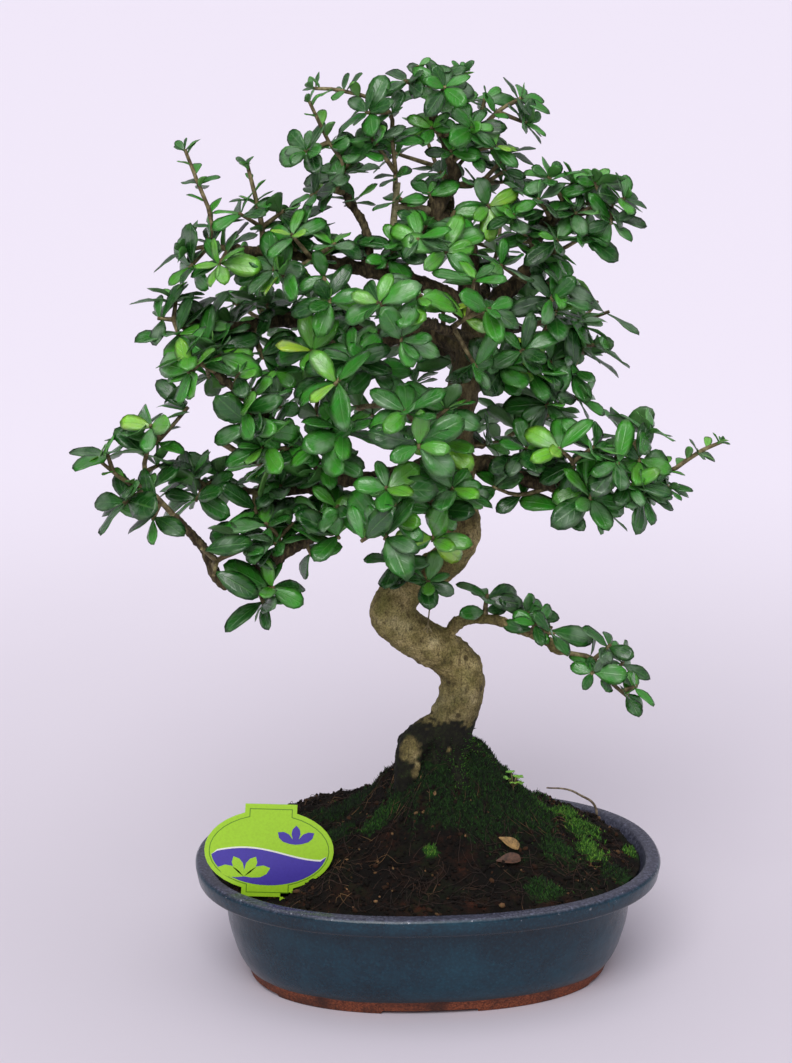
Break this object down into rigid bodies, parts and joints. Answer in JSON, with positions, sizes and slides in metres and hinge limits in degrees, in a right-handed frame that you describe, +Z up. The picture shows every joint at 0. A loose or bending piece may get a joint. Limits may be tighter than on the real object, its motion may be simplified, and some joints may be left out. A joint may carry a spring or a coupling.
{
  "type": "fukien tea bonsai in its pot",
  "caption": "Fukien tea bonsai with an S-shaped trunk and small glossy leaves, in an oval blue glazed pot with soil, to stand on a shelf or table.",
  "frame": {"origin": "middle of the base of the whole tree's box, on the surface that the pot stands on", "axes": "+Z up the tree; X along the pot's long axis and the crown's width, +X to the right seen from the front; +Y to the back, -Y is the front"},
  "size_m": [0.3584, 0.2328, 0.5048],
  "materials": {
    "glazed_stoneware": "glossy teal-blue glaze over an unglazed terracotta foot band",
    "bark": "pale matte bark, darker and rougher on the limbs",
    "leaf_green": "semi-gloss leaf",
    "potting_soil": "matte crumbly soil with moss",
    "printed_label_plastic": "satin printed sheet",
    "screen_plastic": "matte moulded mesh",
    "dry_leaf": "dry and matte"
  },
  "bodies": {
    "root": {"dead_stem": "dry_leaf", "drain_screen_left": "screen_plastic", "drain_screen_right": "screen_plastic", "fallen_leaf_brown": "dry_leaf", "fallen_leaf_tan": "dry_leaf", "plant_label": "printed_label_plastic", "pot": "glazed_stoneware", "soil": "potting_soil", "spray_apex_front": "leaf_green", "spray_apex_left": "leaf_green", "spray_apex_mid": "leaf_green", "spray_apex_right": "leaf_green", "spray_apex_top": "leaf_green", "spray_back_apex": "leaf_green", "spray_back_left": "leaf_green", "spray_back_low": "leaf_green", "spray_back_low_left": "leaf_green", "spray_back_middle": "leaf_green", "spray_back_right": "leaf_green", "spray_back_up": "leaf_green", "spray_back_upper_left": "leaf_green", "spray_front_low_end": "leaf_green", "spray_front_low_mid": "leaf_green", "spray_front_mid_end": "leaf_green", "spray_front_up_end": "leaf_green", "spray_front_up_mid": "leaf_green", "spray_left_apex_end": "leaf_green", "spray_low_left_curl": "leaf_green", "spray_low_left_end": "leaf_green", "spray_low_left_hang": "leaf_green", "spray_low_left_inner": "leaf_green", "spray_low_left_up": "leaf_green", "spray_low_right_end": "leaf_green", "spray_low_right_fork": "leaf_green", "spray_low_right_heart": "leaf_green", "spray_low_right_mid": "leaf_green", "spray_low_right_mid_up": "leaf_green", "spray_low_right_shoot": "leaf_green", "spray_low_right_twig": "leaf_green", "spray_mid_left_drop": "leaf_green", "spray_mid_left_end": "leaf_green", "spray_mid_left_front": "leaf_green", "spray_mid_left_heart": "leaf_green", "spray_mid_right_end": "leaf_green", "spray_mid_right_low": "leaf_green", "spray_mid_right_up": "leaf_green", "spray_trunk_low": "leaf_green", "spray_under_left_end": "leaf_green", "spray_under_left_mid": "leaf_green", "spray_upper_left_end": "leaf_green", "spray_upper_left_mid": "leaf_green", "spray_upper_left_shoot": "leaf_green", "spray_upper_mid_left_end": "leaf_green", "spray_upper_mid_left_front": "leaf_green", "spray_upper_mid_left_mid": "leaf_green", "spray_upper_right_end": "leaf_green", "spray_upper_right_inner": "leaf_green", "spray_upper_right_low": "leaf_green", "spray_upper_right_mid": "leaf_green", "wood": "bark"}
  },
  "joints": []
}
